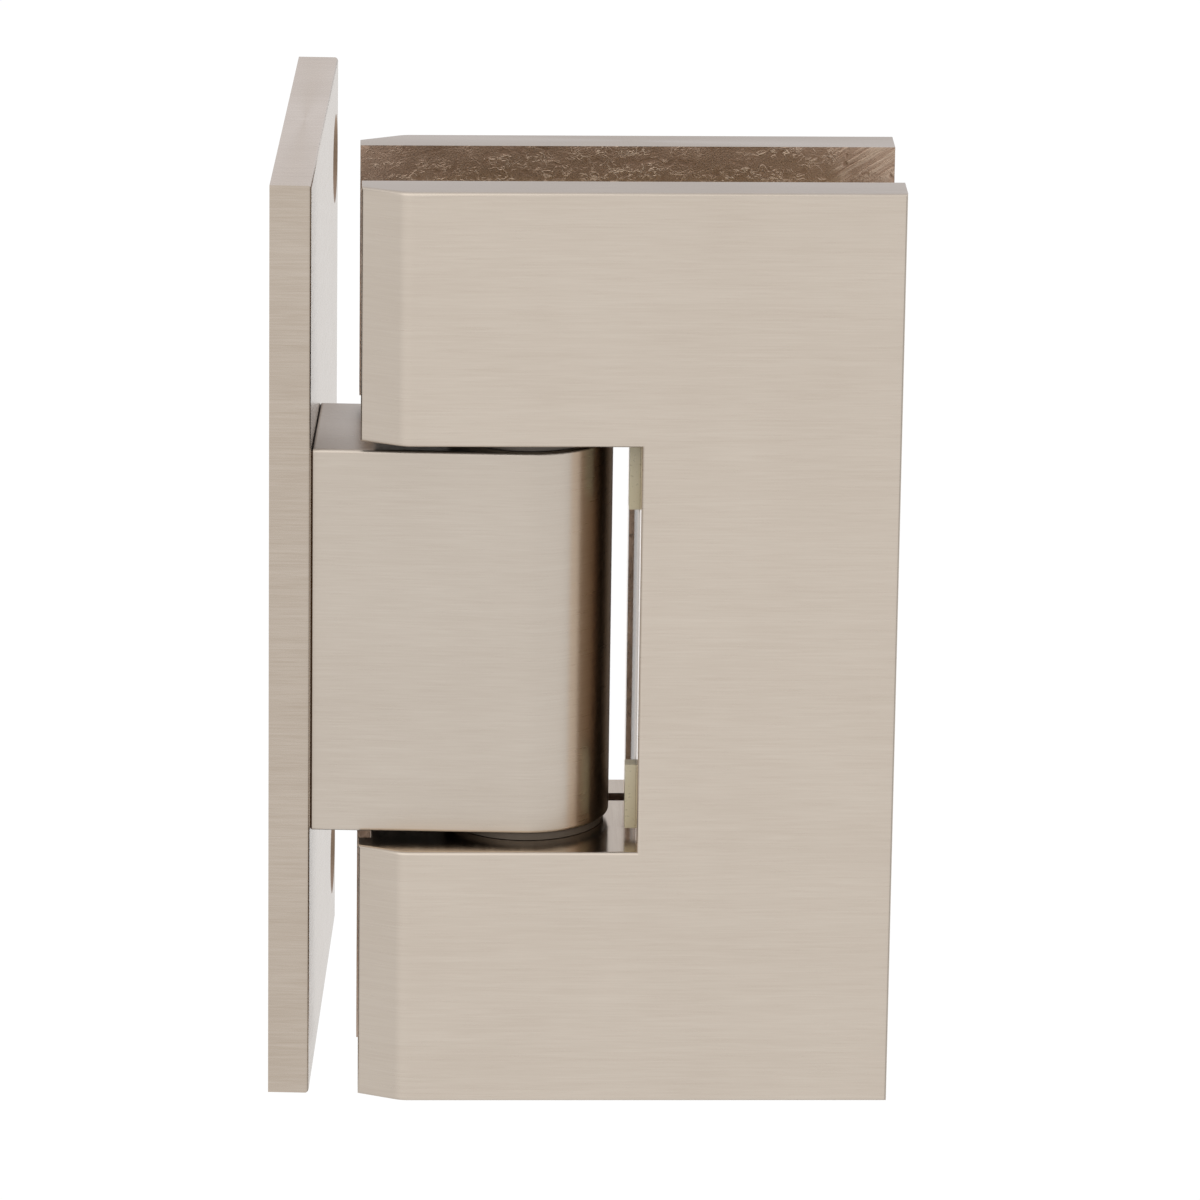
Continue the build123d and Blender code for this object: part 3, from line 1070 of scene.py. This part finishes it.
@dataclass
class Gasket:
    """Clear sheet with soft moulded edges."""

    node: str
    name: str
    finishes: Finishes
    edge_mm: float = 0.3

    def build(self) -> None:
        """Copy the solid, round its edges and tie it to the leaf."""
        piece = whole_copy(self.node, self.name)
        apply_modifier(piece, "moulded_edge", "BEVEL", width=self.edge_mm * MM, segments=3,
                       limit_method="ANGLE", angle_limit=math.radians(40))
        piece.data.materials.append(self.finishes.vinyl)
        shade(piece, 50.0)
        settle(piece, "door_leaf", "clear_vinyl", self.node)


@dataclass
class Studio:
    """Pale floor, soft light and the camera."""

    floor_drop_m: float = 0.30         # from mid-height down to the floor
    floor_size_m: float = 14.0
    glow_share: float = 0.8            # of the floor's own light in what the eye sees of it
    eye_level: float = 1.08            # of that light, which brings the floor up to white
    place_mm: tuple[float, float, float] = (43.50, -773.43, 242.73)
    pan: float = 0.916                 # to the left, in degrees
    down: float = 17.28                # below level, in degrees
    roll: float = 0.787                # in degrees
    lens_mm: float = 254.17
    front: tuple[float, float, float] = (1.0, 1.0, 1.0)        # light from the front
    back: tuple[float, float, float] = (0.735, 0.74, 0.78)     # light from behind, a cool grey
    left_level: float = 0.8            # of the light straight from the left
    right_level: float = 0.5           # of the light straight from the right
    lamp_place_m: tuple[float, float, float] = (-0.5, -1.6, 1.1)
    lamp_size_m: float = 1.8
    lamp_watts: float = 4.5

    def sides(self, tree: Tree, towards: Socket) -> Socket:
        """Give the share of light that is left towards the two sides of the room.

        Args:
            tree: Node tree of the world or the floor.
            towards: Direction of unit length from the hinge.

        Returns:
            Socket of the share.
        """
        across = part_of(tree, towards, "X")
        right = spread(tree, across, 0.85, 1.0, 1.0, self.right_level)
        left = spread(tree, across, -1.0, -0.4, self.left_level, 1.0)
        return reckon(tree, "MULTIPLY", right, left)

    def light(self) -> None:
        """Set a world that is white to the eye, bright in front and a cool grey behind for the metal."""
        world = bpy.data.worlds.new("studio")
        world.use_nodes = True
        bpy.context.scene.world = world
        tree = world.node_tree
        tree.nodes.clear()
        towards = add_node(tree, "ShaderNodeTexCoord").outputs["Generated"]
        behind = spread(tree, part_of(tree, towards, "Y"), -0.35, 0.35)
        room = add_node(tree, "ShaderNodeMix",
                        {"data_type": "RGBA", 6: (*self.front, 1.0), 7: (*self.back, 1.0)},
                        {0: behind}).outputs[2]
        room = dim(tree, room, self.sides(tree, towards))
        rays = add_node(tree, "ShaderNodeLightPath").outputs
        eye = reckon(tree, "MAXIMUM", rays["Is Camera Ray"], rays["Is Transmission Ray"])
        seen = add_node(tree, "ShaderNodeMix", {"data_type": "RGBA", 7: (1.0, 1.0, 1.0, 1.0)},
                        {0: eye, 6: room}).outputs[2]
        sky = add_node(tree, "ShaderNodeBackground", {"Strength": 1.0}, {"Color": seen})
        add_node(tree, "ShaderNodeOutputWorld", links={"Surface": sky.outputs[0]})

    def floor(self) -> None:
        """Lay a pale floor that is white to the eye and keeps a faint shadow."""
        bpy.ops.object.select_all(action="DESELECT")
        bpy.ops.mesh.primitive_plane_add(size=self.floor_size_m, location=(0, 0, -self.floor_drop_m))
        floor = bpy.context.object
        floor.name = "studio_floor"
        material, tree = new_material("pale_floor")
        plain = add_node(tree, "ShaderNodeBsdfDiffuse", {"Color": (0.9, 0.9, 0.9, 1.0)})
        towards = add_node(tree, "ShaderNodeVectorMath", {"operation": "NORMALIZE"},
                           {0: object_point(tree)}).outputs[0]
        rays = add_node(tree, "ShaderNodeLightPath").outputs
        level = add_node(tree, "ShaderNodeMix", {3: self.eye_level},
                         {0: rays["Is Camera Ray"], 2: self.sides(tree, towards)}).outputs[0]
        glow = add_node(tree, "ShaderNodeEmission", {"Color": (1.0, 1.0, 1.0, 1.0)}, {"Strength": level})
        eye = reckon(tree, "MAXIMUM", rays["Is Camera Ray"], rays["Is Glossy Ray"])
        eye = reckon(tree, "MAXIMUM", eye, rays["Is Transmission Ray"])
        part = reckon(tree, "MULTIPLY", eye, self.glow_share)
        both = add_node(tree, "ShaderNodeMixShader", links={0: part, 1: plain.outputs[0], 2: glow.outputs[0]})
        add_node(tree, "ShaderNodeOutputMaterial", links={"Surface": both.outputs[0]})
        floor.data.materials.append(material)

    def softbox(self) -> None:
        """Hang a large square lamp in front that looks at the hinge."""
        lamp = bpy.data.lights.new("front_softbox", "AREA")
        lamp.shape = "SQUARE"
        lamp.size = self.lamp_size_m
        lamp.energy = self.lamp_watts
        holder = bpy.data.objects.new("front_softbox", lamp)
        holder.location = self.lamp_place_m
        holder.rotation_euler = (-Vector(self.lamp_place_m)).to_track_quat("-Z", "Y").to_euler()
        bpy.context.scene.collection.objects.link(holder)

    def camera(self) -> None:
        """Stand the camera where the photograph was taken from."""
        data = bpy.data.cameras.new("camera")
        data.lens = self.lens_mm
        data.sensor_width = 36.0
        data.clip_start, data.clip_end = 0.05, 50.0
        camera = bpy.data.objects.new("camera", data)
        turn = (Matrix.Rotation(math.radians(self.pan), 4, "Z")
                @ Matrix.Rotation(math.radians(90 - self.down), 4, "X")
                @ Matrix.Rotation(math.radians(self.roll), 4, "Z"))
        camera.matrix_world = Matrix.Translation(Vector(self.place_mm) * MM) @ turn
        bpy.context.scene.collection.objects.link(camera)
        bpy.context.scene.camera = camera

    def build(self) -> None:
        """Set up the whole studio."""
        bpy.context.scene.view_settings.view_transform = "Standard"
        self.light()
        self.floor()
        self.softbox()
        self.camera()


def dress_solids(finishes: Finishes) -> None:
    """Give the solids that stay as they are their materials.

    Args:
        finishes: The finishes on the hinge.
    """
    singles = {"pivot_block": finishes.block, "pivot_pin": finishes.ground}
    pairs = {"plunger": finishes.ground, "spring": finishes.ground, "bushing": finishes.nylon,
             "washer": finishes.acetal}
    for half in Half:
        singles |= {f"{half.word}_{name}": material for name, material in pairs.items()}
    for name, material in singles.items():
        for material_slot in frame["nodes"][name].material_slots:
            material_slot.material = material
        log.info("%s: dressed with %s", name, material.name)


def main() -> None:
    """Build the hinge's looks piece by piece."""
    logging.basicConfig(level=logging.INFO, format="%(name)s: %(message)s")
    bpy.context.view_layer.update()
    place = LeafPlace.from_frame()
    finishes = Finishes.make(place)
    dress_solids(finishes)
    WallPlate("wall_plate", "drilled_wall_plate", finishes).build()
    front_y, rear_y = place.points("front_gasket")[:, 1].min(), place.points("rear_gasket")[:, 1].max()
    LeafPlate("clamp_body", "front_leaf", place, finishes, front_y).build()
    LeafPlate("clamp_cover", "rear_leaf", place, finishes, rear_y).build()
    to_hinge = place.to_leaf().inverted().to_3x3()
    for half in Half:
        ThreadedScrew(f"{half.word}_block_screw", f"{half.word}_threaded_block_screw", "wall_side",
                      head_way=Vector((-1, 0, 0)), pitch_mm=0.8, finishes=finishes).build()
        ThreadedScrew(f"{half.word}_clamp_screw", f"{half.word}_threaded_clamp_screw", "door_leaf",
                      head_way=to_hinge @ Vector((0, 1, 0)), pitch_mm=1.0, finishes=finishes).build()
        ThreadedScrew(f"{half.word}_pin_set_screw", f"{half.word}_threaded_set_screw", "door_leaf",
                      head_way=to_hinge @ Vector((-1, 0, 0)), pitch_mm=0.8, finishes=finishes).build()
    Gasket("front_gasket", "front_clear_gasket", finishes).build()
    Gasket("rear_gasket", "rear_clear_gasket", finishes).build()
    Studio().build()


if __name__ == "__main__":
    main()
